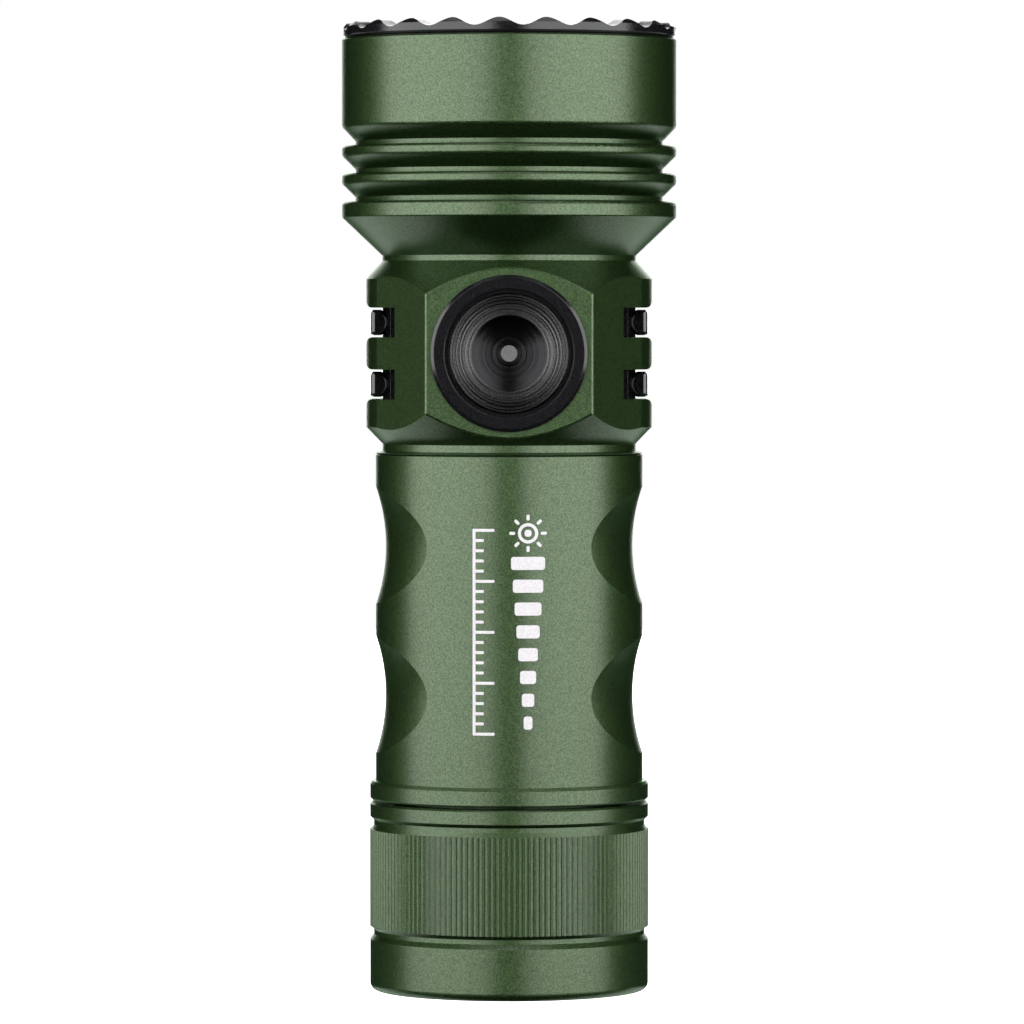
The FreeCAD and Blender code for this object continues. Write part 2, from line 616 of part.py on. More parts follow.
def switch_parts():
    """Side switch, built upright with height meaning distance from the long axis, then laid over."""
    parts = [
        turned("switch_ring", [
            (s.ring_counterbore, s.ring_low),
            (s.ring_hub_radius, s.ring_low),
            (s.ring_hub_radius, s.block_flat),
            (s.ring_radius, s.block_flat),
            (s.ring_radius, s.ring_side_top),
            (s.ring_edge_radius, s.ring_top),
            (s.ring_mouth_radius, s.ring_top),
            (s.ring_mouth_radius, s.ring_step),
            (s.ring_bore, s.ring_step),
            (s.ring_bore, s.ring_lip_low),
            (s.ring_counterbore, s.ring_lip_low),
        ]),
        ring("switch_gasket", s.gasket_inner, s.ring_hub_radius, s.switch_board_top, s.ring_low),
        ring("switch_board", ZERO, s.switch_board_radius, s.pocket_floor, s.switch_board_top),
        ring("button_boot", ZERO, s.boot_radius, s.boot_low, s.button_low),
        ring("switch_plunger", ZERO, s.plunger_radius, s.plunger_low, s.boot_low),
        ring("indicator_lens", ZERO, s.lens_radius, s.button_low, s.lens_top),
    ]
    half = s.tact_width / 2
    parts.append(padded("tact_switch", s.switch_board_top, s.tact_top,
                        [rectangle(-half, half, -half, half)], [((ZERO, ZERO), s.tact_hole_radius)]))
    half = s.indicator_width / 2
    near, far = s.indicator_offset - half, s.indicator_offset + half
    parts.append(padded("indicator_led", s.switch_board_top, s.switch_board_top + s.indicator_height,
                        [rectangle(near, far, -half / 2, half / 2)]))

    # button: fine turned grooves near its edge, a plain band, then a dish around the light dot
    outline = [
        (s.lens_radius, s.button_low),
        (s.button_flange_radius, s.button_low),
        (s.button_flange_radius, s.button_flange_top),
        (s.button_radius, s.button_flange_top),
        (s.button_radius, s.button_top - s.button_edge),
        (s.button_radius - s.button_edge, s.button_top),
    ]
    groove_half = s.button_groove_pitch / 4
    for count in range(int(s.button_groove_count.number)):
        middle = s.button_radius - s.button_groove_pitch * (count + 1)
        outline += [
            (middle + groove_half, s.button_top),
            (middle, s.button_top - s.button_groove_depth),
            (middle - groove_half, s.button_top),
        ]
    outline += [
        (s.dish_edge_radius, s.button_top),
        Arc(s.dish_radius, -1),
        (s.lens_recess_radius, s.dish_floor),
        (s.lens_recess_radius, s.lens_recess_floor),
        (s.lens_radius, s.lens_recess_floor),
    ]
    parts.append(turned("switch_button", outline))
    for part in parts:
        face_switch(part)


def switch_flex():
    """Flexible strip: up the slot behind the ring, then in to the driver's connector."""
    body = new_body("switch_flex")
    sketch = sketch_on(body, "YZ_Plane", "switch_flex_outline")
    outer = -s.flex_face - s.flex_thickness
    inner = -s.flex_face
    top = s.flex_high
    draw(sketch, [(outer, s.flex_low), (inner, s.flex_low), (inner, top - s.flex_thickness),
                  (-s.plug_outer, top - s.flex_thickness), (-s.plug_outer, top), (outer, top)])
    pad = body.newObject("PartDesign::Pad", "switch_flex_pad")
    pad.Profile = sketch
    pad.Midplane = True
    pad.setExpression("Length", s.flex_width.text)
    doc.recompute()


# ---------------------------------------------------------------- tube, cell and tail cap

def battery_tube():
    """Grip tube with finger scallops, a nose for the head and a real screw thread for the cap."""
    blank = turned("tube_blank", [
        (s.cell_bore_radius, s.tube_end),
        (s.thread_root_radius - s.rim_chamfer, s.tube_end),
        (s.thread_root_radius, s.tube_end + s.rim_chamfer),
        (s.thread_root_radius, s.seal_land_low),
        (s.thread_radius, s.seal_land_low),
        (s.thread_radius, s.seal_groove_low),
        (s.seal_groove_radius, s.seal_groove_low),
        (s.seal_groove_radius, s.seal_groove_high),
        (s.thread_radius, s.seal_groove_high),
        (s.thread_radius, s.seal_land_high),
        (s.thread_root_radius, s.seal_land_high),
        (s.thread_root_radius, s.tube_shoulder),
        (s.collar_radius - s.rim_chamfer, s.tube_shoulder),
        (s.collar_radius, s.tube_collar_low),
        (s.collar_radius, s.tube_collar_high),
        (s.collar_radius - s.rim_chamfer, s.tube_low),
        (s.tube_radius, s.tube_low),
        (s.tube_radius, s.head_joint - s.edge_break * 2),
        (s.tube_radius - s.edge_break, s.head_joint - s.edge_break),
        (s.nose_radius, s.head_joint - s.edge_break),
        (s.nose_radius, s.nose_groove_low),
        (s.nose_groove_radius, s.nose_groove_low),
        (s.nose_groove_radius, s.nose_groove_high),
        (s.nose_radius, s.nose_groove_high),
        (s.nose_radius, s.nose_high),
        (s.cell_bore_radius, s.nose_high),
    ], keep=False)

    scallops = []
    for side in (-1, 1):
        for height in (s.scallop_low, s.scallop_high):
            torus = doc.addObject("Part::Torus", "scallop_cutter")
            waist = s.tube_radius - s.scallop_depth + s.scallop_offset
            torus.setExpression("Radius1", (waist + s.scallop_long_radius).text)
            torus.setExpression("Radius2", s.scallop_long_radius.text)
            torus.setExpression("Placement.Base.x", (s.scallop_offset * -side).text)
            torus.setExpression("Placement.Base.z", height.text)
            scallops.append(torus)
    cutters = doc.addObject("Part::MultiFuse", "scallop_cutters")
    cutters.Shapes = scallops
    scooped = doc.addObject("Part::Cut", "scooped_tube")
    scooped.Base = blank
    scooped.Tool = cutters
    doc.recompute()

    # the thread's ridge is swept along a helix and reaches a little into the core
    pitch = s.thread_pitch.number
    root = s.thread_root_radius.number - s.edge_break.number
    crest = s.thread_radius.number
    low = s.thread_low.number
    helix = Part.makeHelix(pitch, s.thread_length.number, root)
    helix.translate(Vector(0, 0, low))
    foot_half = pitch * s.thread_foot_share.number
    crest_half = pitch * s.thread_crest_share.number
    corners = [Vector(root, 0, low - foot_half), Vector(crest, 0, low - crest_half),
               Vector(crest, 0, low + crest_half), Vector(root, 0, low + foot_half)]
    ridge = Part.Wire(helix.Edges).makePipeShell([Part.makePolygon(corners + corners[:1])], True, True)
    thread = shaped("tube_thread", ridge, keep=False)
    joined("Part::Fuse", "battery_tube", scooped, thread)


def seals():
    """Rubber O-rings in the tube's two grooves."""
    for label, section, groove, low, high in (
            ("nose_seal", s.nose_seal_section, s.nose_groove_radius, s.nose_groove_low, s.nose_groove_high),
            ("tail_seal", s.tail_seal_section, s.seal_groove_radius, s.seal_groove_low, s.seal_groove_high)):
        torus = doc.addObject("Part::Torus", label)
        torus.Label = label
        torus.setExpression("Radius1", (groove + section + s.contact_gap).text)
        torus.setExpression("Radius2", section.text)
        torus.setExpression("Placement.Base.z", ((low + high) / 2).text)
        sub_parts.append(torus)


def cell():
    """Rechargeable cell: foil roll in a steel can with a plastic sleeve, washer and raised cap."""
    inner = s.can_radius - s.can_wall
    turned("cell_can", [
        (ZERO, s.cell_low), (s.can_radius, s.cell_low), (s.can_radius, s.cell_high),
        (s.cell_cap_radius + s.cell_cap_step, s.cell_high),
        (s.cell_cap_radius + s.cell_cap_step, s.cell_high - s.can_wall),
        (inner, s.cell_high - s.can_wall), (inner, s.cell_low + s.can_wall), (ZERO, s.cell_low + s.can_wall),
    ])
    ring("cell_core", ZERO, inner, s.cell_low + s.can_wall, s.cell_high - s.cell_cap_step)
    ring("cell_wrap", s.can_radius, s.cell_radius, s.cell_low, s.cell_high)
    ring("cell_washer", s.cell_cap_radius + s.cell_cap_step, s.cell_radius, s.cell_high, s.washer_top)
    turned("cell_positive_cap", [
        (ZERO, s.cell_high - s.cell_cap_step), (s.cell_cap_radius, s.cell_high - s.cell_cap_step),
        (s.cell_cap_radius, s.cell_cap_top - s.cell_cap_step),
        (s.cell_cap_radius - s.cell_cap_step, s.cell_cap_top), (ZERO, s.cell_cap_top),
    ])


def tail_cap_shell():
    """Screw cap with a band of fine upright ridges."""
    blank = turned("cap_blank", [
        (s.contact_hole_radius, s.contact_well_depth),
        (s.contact_well_radius, s.contact_well_depth),
        (s.contact_well_radius, ZERO),
        (s.tail_face_radius, ZERO),
        Arc(s.tail_corner, 1),
        (s.tail_radius, s.tail_corner),
        (s.tail_radius, s.tail_band_top),
        (s.groove_radius, s.tail_groove_low),
        (s.groove_radius, s.tail_groove_high),
        (s.knurl_root_radius, s.knurl_low),
        (s.knurl_root_radius, s.knurl_high),
        (s.groove_radius, s.collar_groove_low),
        (s.groove_radius, s.collar_groove_high),
        (s.collar_radius, s.cap_collar_low),
        (s.collar_radius, s.cap_collar_high),
        (s.collar_radius - s.rim_chamfer, s.cap_rim),
        (s.cap_bore_radius, s.cap_rim),
        (s.cap_bore_radius, s.cap_bore_low),
        (s.cap_bay_radius, s.cap_bore_low),
        (s.cap_bay_radius, s.cap_floor),
        (s.contact_hole_radius, s.cap_floor),
    ], keep=False)
    count = int(s.knurl_count.number)
    ridge = s.knurl_ridge_radius.number
    root = s.knurl_root_radius.number
    low, high = s.knurl_low.number, s.knurl_high.number
    foot, crest = s.knurl_foot_share.number, s.knurl_crest_share.number
    corners = []
    for step in range(count):
        for share, radius in ((-foot, root), (-crest, ridge), (crest, ridge), (foot, root)):
            angle = 2 * math.pi * (step + share) / count
            corners.append(Vector(radius * math.cos(angle), radius * math.sin(angle), low))
    star = Part.Face(Part.makePolygon(corners + corners[:1]))
    hole = Part.Face(Part.Wire(Part.makeCircle(s.groove_radius.number, Vector(0, 0, low))))
    band = star.cut(hole).extrude(Vector(0, 0, high - low))
    joined("Part::Fuse", "tail_cap_shell", blank, shaped("knurl_band", band, keep=False))


def tail_parts():
    """What the cap holds: magnet, contact, board, retaining ring and spring."""
    ring("tail_magnet", s.magnet_inner_radius, s.magnet_radius, s.cap_floor, s.magnet_top)
    ring("tail_board", s.contact_stem_radius, s.magnet_radius, s.tail_board_low, s.tail_board_high)
    ring("tail_retaining_ring", s.tail_ring_inner, s.magnet_radius, s.tail_board_high, s.tail_ring_top)
    turned("tail_insulator", [
        (s.contact_face_radius, s.contact_well_depth),
        (s.insulator_radius, s.contact_well_depth),
        (s.insulator_radius, s.cap_floor),
        (s.insulator_flange_radius, s.cap_floor),
        (s.insulator_flange_radius, s.insulator_top),
        (s.contact_stem_radius, s.insulator_top),
        (s.contact_stem_radius, s.contact_face_high),
        (s.contact_face_radius, s.contact_face_high),
    ])
    turned("tail_contact", [
        (ZERO, s.contact_face_low),
        (s.contact_face_radius - s.rim_chamfer, s.contact_face_low),
        (s.contact_face_radius, s.contact_face_low + s.rim_chamfer),
        (s.contact_face_radius, s.contact_face_high),
        (s.contact_stem_radius, s.contact_face_high),
        (s.contact_stem_radius, s.tail_board_high),
        (ZERO, s.tail_board_high),
    ])
    # conical contact spring between the board and the cell
    wire = s.spring_wire.number
    gap = s.contact_gap.number
    low = s.tail_board_high.number + wire + gap
    rise = s.cell_low.number - wire - gap - low
    base = s.spring_base_radius.number
    narrowing = s.spring_top_radius.number - base
    steps = int(s.spring_turns.number * s.points_per_turn.number)
    points = []
    for step in range(steps + 1):
        share = step / steps
        angle = 2 * math.pi * s.spring_turns.number * share
        radius = base + narrowing * share
        points.append(Vector(radius * math.cos(angle), radius * math.sin(angle), low + rise * share))
    coil = Part.BSplineCurve()
    coil.interpolate(points)
    section = Part.Wire(Part.makeCircle(wire, points[0], coil.tangent(coil.FirstParameter)[0]))
    spring = Part.Wire(coil.toShape()).makePipeShell([section], True, True)
    shaped("tail_spring", spring)


head_shell()
bezel_ring()
for side_name, side in (("left", -1), ("right", 1)):
    slot_insert(f"slot_insert_upper_{side_name}", side, s.slot_upper)
    slot_insert(f"slot_insert_lower_{side_name}", side, s.slot_lower)
front_stack()
driver()
switch_parts()
switch_flex()
battery_tube()
seals()
cell()
tail_cap_shell()
tail_parts()
doc.recompute()

for item in doc.Objects:
    if "Invalid" in item.State or "Error" in item.State:
        raise RuntimeError(f"{item.Label} failed: {item.State}")
for part in sub_parts:
    if part.Shape.isNull() or not part.Shape.isValid():
        raise RuntimeError(f"{part.Label} has no valid shape")
for part in sub_parts:
    part.Shape.exportStep(f"parts/{part.Label}.step")
    print(part.Label, len(part.Shape.Solids), round(part.Shape.Volume, 2))
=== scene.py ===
import math

import bpy
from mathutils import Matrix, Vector


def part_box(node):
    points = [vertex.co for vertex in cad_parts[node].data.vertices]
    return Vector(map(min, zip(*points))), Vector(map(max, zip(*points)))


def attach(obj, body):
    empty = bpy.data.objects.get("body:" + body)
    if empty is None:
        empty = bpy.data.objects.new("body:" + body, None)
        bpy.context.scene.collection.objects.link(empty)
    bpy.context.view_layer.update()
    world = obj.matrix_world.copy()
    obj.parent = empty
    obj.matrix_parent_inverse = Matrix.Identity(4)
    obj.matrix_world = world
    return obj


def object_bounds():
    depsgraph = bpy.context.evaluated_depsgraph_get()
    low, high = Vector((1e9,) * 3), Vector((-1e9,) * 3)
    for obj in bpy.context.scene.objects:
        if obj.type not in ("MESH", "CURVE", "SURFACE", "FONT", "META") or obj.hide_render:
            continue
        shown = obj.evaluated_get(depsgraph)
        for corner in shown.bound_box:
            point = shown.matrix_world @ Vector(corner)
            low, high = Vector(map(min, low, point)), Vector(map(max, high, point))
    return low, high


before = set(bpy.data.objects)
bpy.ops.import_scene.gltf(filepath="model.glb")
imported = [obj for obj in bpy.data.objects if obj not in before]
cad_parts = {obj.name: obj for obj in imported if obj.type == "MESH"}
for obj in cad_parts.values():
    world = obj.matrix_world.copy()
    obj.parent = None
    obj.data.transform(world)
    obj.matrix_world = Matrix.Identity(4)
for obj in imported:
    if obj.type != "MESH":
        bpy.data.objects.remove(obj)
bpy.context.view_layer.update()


# ---- Camera and studio -------------------------------------------------------------------
# A long lens looks at the switch side from a little above the middle, over a plain pale floor
# low enough for the tail cap to come off. Two wide soft boxes stand left and right of the
# camera, a narrow gap apart; weaker ones shine from above, from behind and from low behind.

MM = 0.001
camera_distance = 0.735
camera_height = 0.071
view_middle = Vector((0.0003, 0, 0.0501))
frame_height = 0.10733
sensor = 36.0
near_clip, far_clip = 0.01, 60
scene = bpy.context.scene
scene.view_settings.view_transform = "Standard"
scene.view_settings.look = "None"


def aimed(item, place, target):
    item.location = place
    item.rotation_euler = (target - place).to_track_quat("-Z", "Y").to_euler()


camera = bpy.data.objects.new("camera", bpy.data.cameras.new("camera"))
scene.collection.objects.link(camera)
camera.data.sensor_width = sensor
camera.data.lens = sensor * camera_distance / frame_height
camera.data.clip_start = near_clip
camera.data.clip_end = far_clip
aimed(camera, Vector((view_middle.x, -camera_distance, camera_height)), view_middle)
scene.camera = camera


def soft_box(name, azimuth, rise, distance, width, height, watts, middle=0.06):
    """A soft box that stands at an azimuth from the camera's side, turned to the light's middle."""
    lamp = bpy.data.objects.new(name, bpy.data.lights.new(name, "AREA"))
    scene.collection.objects.link(lamp)
    lamp.data.shape = "RECTANGLE"
    lamp.data.size = width
    lamp.data.size_y = height
    lamp.data.energy = watts
    lamp.visible_camera = False
    around = math.radians(azimuth)
    up = math.radians(rise)
    target = Vector((0, 0, middle))
    reach = Vector((math.sin(around) * math.cos(up), -math.cos(around) * math.cos(up), math.sin(up)))
    aimed(lamp, target + reach * distance, target)


soft_box("soft_box_left", azimuth=-53, rise=13, distance=0.60, width=1.08, height=0.60, watts=7.4)
soft_box("soft_box_right", azimuth=50, rise=13, distance=0.60, width=0.97, height=0.60, watts=6.7)
soft_box("soft_box_top", azimuth=0, rise=80, distance=0.70, width=0.60, height=0.50, watts=1.4)
soft_box("soft_box_low_left", azimuth=-138, rise=-42, distance=0.60, width=0.50, height=0.50, watts=0.85)
soft_box("soft_box_low_right", azimuth=138, rise=-42, distance=0.60, width=0.50, height=0.50, watts=0.85)
soft_box("soft_box_back", azimuth=180, rise=20, distance=0.90, width=0.56, height=0.80, watts=3.6)

world = bpy.data.worlds.new("studio")
scene.world = world
world.use_nodes = True
nodes, wire = world.node_tree.nodes, world.node_tree.links.new
nodes.clear()
room = nodes.new("ShaderNodeBackground")
room.inputs["Color"].default_value = (0.008, 0.008, 0.008, 1)
backdrop = nodes.new("ShaderNodeBackground")
backdrop.inputs["Color"].default_value = (1, 1, 1, 1)
seen = nodes.new("ShaderNodeLightPath")
choose = nodes.new("ShaderNodeMixShader")
out = nodes.new("ShaderNodeOutputWorld")
wire(seen.outputs["Is Camera Ray"], choose.inputs["Fac"])
wire(room.outputs["Background"], choose.inputs[1])
wire(backdrop.outputs["Background"], choose.inputs[2])
wire(choose.outputs["Shader"], out.inputs["Surface"])


def new_material(name, **sockets):
    """A Principled material with plain values set on the shader's own sockets."""
    material = bpy.data.materials.new(name)
    material.use_nodes = True
    shader = material.node_tree.nodes["Principled BSDF"]
    for socket, value in sockets.items():
        shader.inputs[socket.replace("_", " ")].default_value = value
    return material, shader


cap_drop = 6.5 * MM
floor_radius, floor_corners = 12, 96
bpy.ops.object.select_all(action="DESELECT")
bpy.ops.mesh.primitive_circle_add(vertices=floor_corners, radius=floor_radius, fill_type="TRIFAN",
                                  location=(0, 0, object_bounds()[0].z - cap_drop))
floor = bpy.context.object
floor.name = "studio_floor"
for ray in ("glossy", "diffuse", "shadow"):
    setattr(floor, "visible_" + ray, False)
floor_paint, shader = new_material("floor_paint", Base_Color=(0.9, 0.9, 0.9, 1), Roughness=0.9,
                                   Emission_Color=(1, 1, 1, 1), Emission_Strength=1.0)
floor.data.materials.append(floor_paint)


# ---- Green shells: head, tube and tail cap -----------------------------------------------
# Turned from aluminium bar, blasted with fine beads and dyed green. The dye lies in the oxide,
# under a clear sealed skin, so bright reflections are paler than the metal under them.

mask_dark, mask_light = 0.35, 0.65
edge_samples = 4
grain_height = 0.02 * MM


def new_group(name, inputs, outputs):
    """A shader node group with its sockets, and its entry and exit nodes."""
    group = bpy.data.node_groups.new(name, "ShaderNodeTree")
    for socket, kind in inputs:
        group.interface.new_socket(socket, in_out="INPUT", socket_type="NodeSocket" + kind)
    for socket, kind in outputs:
        group.interface.new_socket(socket, in_out="OUTPUT", socket_type="NodeSocket" + kind)
    return group, group.nodes.new("NodeGroupInput"), group.nodes.new("NodeGroupOutput")


def make_fine_grain():
    """Blasted or moulded grain: a mask of light and dark spots, and a normal that follows it."""
    group, entry, leave = new_group(
        "fine_grain", [("Scale", "Float"), ("Depth", "Float"), ("Normal", "Vector")],
        [("Grain", "Float"), ("Normal", "Vector")])
    place = group.nodes.new("ShaderNodeTexCoord")
    noise = group.nodes.new("ShaderNodeTexNoise")
    noise.inputs["Detail"].default_value = 2
    noise.inputs["Roughness"].default_value = 0.7
    bump = group.nodes.new("ShaderNodeBump")
    bump.inputs["Distance"].default_value = grain_height
    wire = group.links.new
    wire(place.outputs["Object"], noise.inputs["Vector"])
    wire(entry.outputs["Scale"], noise.inputs["Scale"])
    wire(noise.outputs["Fac"], bump.inputs["Height"])
    wire(entry.outputs["Depth"], bump.inputs["Strength"])
    wire(entry.outputs["Normal"], bump.inputs["Normal"])
    wire(noise.outputs["Fac"], leave.inputs["Grain"])
    wire(bump.outputs["Normal"], leave.inputs["Normal"])
    return group


fine_grain = make_fine_grain()


def add_spread(material, source, low, high, target):
    """Feeds a mask to a socket, spread between two values."""
    spread = material.node_tree.nodes.new("ShaderNodeMapRange")
    spread.inputs["From Min"].default_value = mask_dark
    spread.inputs["From Max"].default_value = mask_light
    spread.inputs["To Min"].default_value = low
    spread.inputs["To Max"].default_value = high
    material.node_tree.links.new(source, spread.inputs["Value"])
    material.node_tree.links.new(spread.outputs["Result"], target)


def add_tint(material, shader, source, dark, light):
    """Colours the base between two colours by a mask."""
    ramp = material.node_tree.nodes.new("ShaderNodeValToRGB")
    ramp.color_ramp.elements[0].position = mask_dark
    ramp.color_ramp.elements[1].position = mask_light
    ramp.color_ramp.elements[0].color = (*dark, 1)
    ramp.color_ramp.elements[1].color = (*light, 1)
    material.node_tree.links.new(source, ramp.inputs["Fac"])
    material.node_tree.links.new(ramp.outputs["Color"], shader.inputs["Base Color"])


def add_grain(material, shader, scale, depth, edge, roughness):
    """Fine grain over slightly softened edges; roughness runs between the two values given."""
    nodes, wire = material.node_tree.nodes, material.node_tree.links.new
    soften = nodes.new("ShaderNodeBevel")
    soften.samples = edge_samples
    soften.inputs["Radius"].default_value = edge
    grain = nodes.new("ShaderNodeGroup")
    grain.node_tree = fine_grain
    grain.inputs["Scale"].default_value = scale
    grain.inputs["Depth"].default_value = depth
    wire(soften.outputs["Normal"], grain.inputs["Normal"])
    wire(grain.outputs["Normal"], shader.inputs["Normal"])
    add_spread(material, grain.outputs["Grain"], roughness[0], roughness[1], shader.inputs["Roughness"])
    return grain


def finish_nodes(material, *names):
    for name in names:
        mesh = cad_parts[name].data
        mesh.materials.clear()
        mesh.materials.append(material)


green_shell, shader = new_material(
    "anodised_green", Metallic=1.0, Specular_Tint=(0.30, 0.70, 0.15, 1), Coat_Roughness=0.32, Coat_IOR=1.64)
grain = add_grain(green_shell, shader, scale=5400, depth=1.0, edge=0.10 * MM, roughness=(0.40, 0.54))
add_tint(green_shell, shader, grain.outputs["Grain"], (0.010, 0.032, 0.004), (0.034, 0.080, 0.013))
add_spread(green_shell, grain.outputs["Grain"], 0.62, 1.0, shader.inputs["Coat Weight"])
finish_nodes(green_shell, "head_shell", "battery_tube", "tail_cap_shell")


# ---- Printed marks on the tube -----------------------------------------------------------
# White ink, pressed on after dyeing: a lamp symbol over a rising gauge, beside a graduated
# scale. Each mark is a flat outline laid on the tube and given the thickness of the ink.

ink_thickness = 0.03 * MM
ink_lift = 0.01 * MM
corner_steps, ring_corners = 4, 48
strip_width = 0.30 * MM
marks_top = 48.6 * MM
gauge_x = 1.95 * MM
scale_x = -2.55 * MM
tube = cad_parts["battery_tube"]
stand_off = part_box("battery_tube")[0].y - 2 * MM

white_ink, shader = new_material("white_ink", Roughness=0.5, Specular_IOR_Level=0.4)
grain = add_grain(white_ink, shader, scale=5000, depth=0.3, edge=0.01 * MM, roughness=(0.45, 0.6))
add_tint(white_ink, shader, grain.outputs["Grain"], (0.54, 0.52, 0.54), (0.66, 0.64, 0.66))


def flat_bar(x, z, width, height, corner, turn=0.0):
    """A flat bar with round corners that faces the front, turned about its middle."""
    bpy.ops.object.select_all(action="DESELECT")
    bpy.ops.mesh.primitive_plane_add(size=1, location=(x, stand_off, z),
                                     rotation=(math.radians(90), 0, 0))
    bar = bpy.context.object
    bar.scale = (width, height, 1)
    bar.rotation_euler.rotate_axis("Z", turn)
    bpy.ops.object.transform_apply()
    bpy.ops.object.mode_set(mode="EDIT")
    bpy.ops.mesh.select_all(action="SELECT")
    bpy.ops.mesh.bevel(offset=corner, segments=corner_steps, affect="VERTICES")
    bpy.ops.object.mode_set(mode="OBJECT")
    return bar


def flat_ring(x, z, outer, inner):
    """A flat ring that faces the front."""
    bpy.ops.object.select_all(action="DESELECT")
    bpy.ops.mesh.primitive_circle_add(vertices=ring_corners, radius=outer, fill_type="NGON",
                                      location=(x, stand_off, z), rotation=(math.radians(90), 0, 0))
    ring = bpy.context.object
    bpy.ops.object.transform_apply()
    bpy.ops.object.mode_set(mode="EDIT")
    bpy.ops.mesh.select_all(action="SELECT")
    bpy.ops.mesh.inset(thickness=outer - inner)
    bpy.ops.mesh.delete(type="FACE")
    bpy.ops.object.mode_set(mode="OBJECT")
    return ring


def print_on_tube(name, parts):
    """Joins flat outlines, lays them round the tube and thickens them into ink."""
    bpy.ops.object.select_all(action="DESELECT")
    for part in parts:
        part.select_set(True)
    bpy.context.view_layer.objects.active = parts[0]
    bpy.ops.object.join()
    marks = bpy.context.object
    marks.name = name
    edges = [corner.co.x for corner in marks.data.vertices]
    cuts = int((max(edges) - min(edges)) / strip_width)
    bpy.ops.object.mode_set(mode="EDIT")
    for step in range(1, cuts + 1):
        bpy.ops.mesh.select_all(action="SELECT")
        bpy.ops.mesh.bisect(plane_co=(min(edges) + step * strip_width, 0, 0), plane_no=(1, 0, 0))
    bpy.ops.object.mode_set(mode="OBJECT")
    wrap = marks.modifiers.new("lay_on_tube", "SHRINKWRAP")
    wrap.target = tube
    wrap.wrap_method = "PROJECT"
    wrap.use_project_y = True
    wrap.use_positive_direction = True
    wrap.offset = ink_lift
    thicken = marks.modifiers.new("ink_thickness", "SOLIDIFY")
    thicken.thickness = ink_thickness
    thicken.offset = 1
    for modifier in (wrap.name, thicken.name):
        bpy.ops.object.modifier_apply(modifier=modifier)
    marks.data.materials.clear()
    marks.data.materials.append(white_ink)
    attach(marks, "light_body")


# the lamp symbol: a ring and a spot, with eight rays
lamp_z = marks_top - 0.3 * MM
ring_outer, ring_inner, spot_width, spot_corner = 1.05 * MM, 0.72 * MM, 0.72 * MM, 0.288 * MM
ray_reach, ray_length, ray_width, ray_corner = 1.62 * MM, 0.62 * MM, 0.32 * MM, 0.144 * MM
rays = 8
symbol = [flat_ring(gauge_x, lamp_z, ring_outer, ring_inner),
          flat_bar(gauge_x, lamp_z, spot_width, spot_width, spot_corner)]
for ray in range(rays):
    turn = 2 * math.pi * ray / rays
    symbol.append(flat_bar(gauge_x + ray_reach * math.cos(turn), lamp_z + ray_reach * math.sin(turn),
                           ray_length, ray_width, ray_corner, turn))
print_on_tube("printed_lamp_symbol", symbol)

# the gauge: bars that widen towards the head
bars, bar_pitch, bar_height = 8, 2.35 * MM, 1.35 * MM
narrow, wide, bar_corner = 0.9 * MM, 3.5 * MM, 0.28 * MM
lamp_to_gauge = 3.1 * MM
gauge = []
for step in range(bars):
    width = wide + (narrow - wide) * step / (bars - 1)
    gauge.append(flat_bar(gauge_x, lamp_z - lamp_to_gauge - bar_pitch * step, width, bar_height,
                          bar_corner))
print_on_tube("printed_gauge", gauge)

# the scale: a rule with ticks, every fifth one long
ticks, tick_pitch, tick_width = 21, 1.05 * MM, 0.30 * MM
short_tick, long_tick, long_every, tick_corner = 1.0 * MM, 2.1 * MM, 5, 0.1 * MM
rule_length = tick_pitch * (ticks - 1)
scale = [flat_bar(scale_x - long_tick / 2, marks_top - rule_length / 2, tick_width,
                  rule_length + tick_width, tick_corner)]
for step in range(ticks):
    length = short_tick if step % long_every else long_tick
    scale.append(flat_bar(scale_x - long_tick / 2 + length / 2, marks_top - tick_pitch * step, length,
                          tick_width, tick_corner))
print_on_tube("printed_scale", scale)


# ---- Bezel and switch ring ---------------------------------------------------------------
# Turned aluminium with a black anodised skin, smoother than the green shells. The bezel screws
# into the head and the ring is pressed round the button; their edges are broken by hand.

black_metal, shader = new_material("black_metal", Specular_IOR_Level=0.5)
grain = add_grain(black_metal, shader, scale=5000, depth=0.5, edge=0.08 * MM, roughness=(0.13, 0.2))
add_tint(black_metal, shader, grain.outputs["Grain"], (0.003, 0.003, 0.004), (0.008, 0.008, 0.009))
finish_nodes(black_metal, "bezel_ring", "switch_ring")


# ---- Switch button -----------------------------------------------------------------------
# Aluminium, turned with a pointed tool that leaves fine rings, then anodised black. The base colour is
# darker inside the dish and paler on the rim round it.

tool_mark_height = 0.02 * MM
turned_edge = 0.05 * MM


